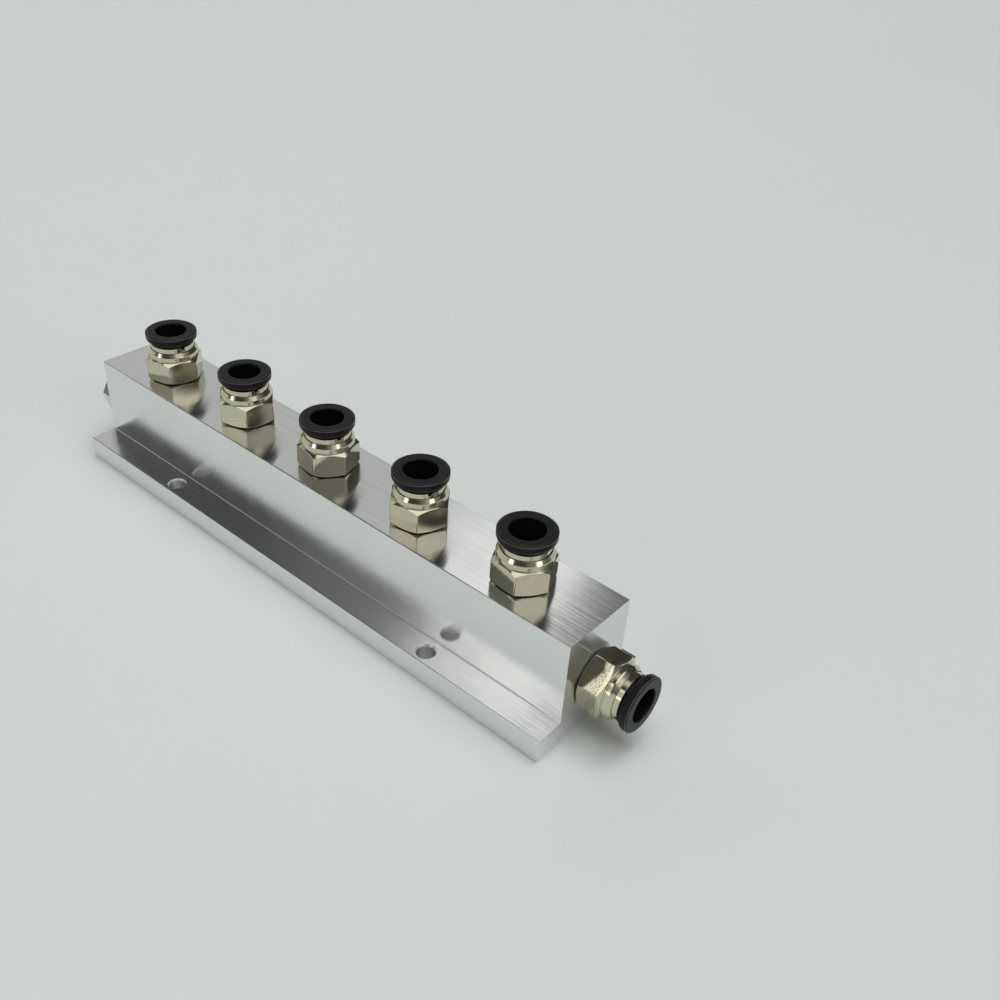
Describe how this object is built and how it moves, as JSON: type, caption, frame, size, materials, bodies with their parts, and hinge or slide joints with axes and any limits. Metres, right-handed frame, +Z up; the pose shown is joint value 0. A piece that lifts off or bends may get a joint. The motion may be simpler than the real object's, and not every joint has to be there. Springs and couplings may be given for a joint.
{
  "type": "air manifold block",
  "caption": "Aluminium air distribution block with a flanged foot, push-in tube outlets along the top, a push-in inlet on one end and a screwed plug on the other.",
  "frame": {"origin": "centre of the foot's lower face, halfway between the two end faces of the block", "axes": "+X along the block towards the end with the inlet fitting, +Y across the block to the back, +Z up through the outlets"},
  "size_m": [0.2374, 0.046, 0.053],
  "materials": {
    "block_aluminium": "brushed along its length, satin ends",
    "nickel": "bright nickel plate over brass",
    "black_plastic": "matte black",
    "seal_rubber": "matte black",
    "spring_steel": "bright stainless",
    "plug_steel": "fine grained silver plate"
  },
  "bodies": {
    "manifold": {"manifold_block": "block_aluminium", "end_plug": "plug_steel", "plug_seal": "seal_rubber", "outlet_1_body": "nickel", "outlet_1_base_seal": "seal_rubber", "outlet_1_tube_seal": "seal_rubber", "outlet_1_claw": "spring_steel", "outlet_1_sleeve": "nickel", "outlet_2_body": "nickel", "outlet_2_base_seal": "seal_rubber", "outlet_2_tube_seal": "seal_rubber", "outlet_2_claw": "spring_steel", "outlet_2_sleeve": "nickel", "outlet_3_body": "nickel", "outlet_3_base_seal": "seal_rubber", "outlet_3_tube_seal": "seal_rubber", "outlet_3_claw": "spring_steel", "outlet_3_sleeve": "nickel", "outlet_4_body": "nickel", "outlet_4_base_seal": "seal_rubber", "outlet_4_tube_seal": "seal_rubber", "outlet_4_claw": "spring_steel", "outlet_4_sleeve": "nickel", "outlet_5_body": "nickel", "outlet_5_base_seal": "seal_rubber", "outlet_5_tube_seal": "seal_rubber", "outlet_5_claw": "spring_steel", "outlet_5_sleeve": "nickel", "inlet_body": "nickel", "inlet_base_seal": "seal_rubber", "inlet_tube_seal": "seal_rubber", "inlet_claw": "spring_steel", "inlet_sleeve": "nickel"},
    "outlet_1_release": {"outlet_1_ring": "black_plastic"},
    "outlet_2_release": {"outlet_2_ring": "black_plastic"},
    "outlet_3_release": {"outlet_3_ring": "black_plastic"},
    "outlet_4_release": {"outlet_4_ring": "black_plastic"},
    "outlet_5_release": {"outlet_5_ring": "black_plastic"},
    "inlet_release": {"inlet_ring": "black_plastic"}
  },
  "joints": [
    {"name": "outlet_1_press", "type": "slide", "parent": "manifold", "child": "outlet_1_release", "axis": [0, 0, -1], "range_m": [0, 0.001], "stiffness_N_per_m": 100, "springref_m": -0.003},
    {"name": "outlet_2_press", "type": "slide", "parent": "manifold", "child": "outlet_2_release", "axis": [0, 0, -1], "range_m": [0, 0.001], "stiffness_N_per_m": 100, "springref_m": -0.003},
    {"name": "outlet_3_press", "type": "slide", "parent": "manifold", "child": "outlet_3_release", "axis": [0, 0, -1], "range_m": [0, 0.001], "stiffness_N_per_m": 100, "springref_m": -0.003},
    {"name": "outlet_4_press", "type": "slide", "parent": "manifold", "child": "outlet_4_release", "axis": [0, 0, -1], "range_m": [0, 0.001], "stiffness_N_per_m": 100, "springref_m": -0.003},
    {"name": "outlet_5_press", "type": "slide", "parent": "manifold", "child": "outlet_5_release", "axis": [0, 0, -1], "range_m": [0, 0.001], "stiffness_N_per_m": 100, "springref_m": -0.003},
    {"name": "inlet_press", "type": "slide", "parent": "manifold", "child": "inlet_release", "axis": [-1, 0, 0], "range_m": [0, 0.001], "stiffness_N_per_m": 100, "springref_m": -0.003}
  ]
}
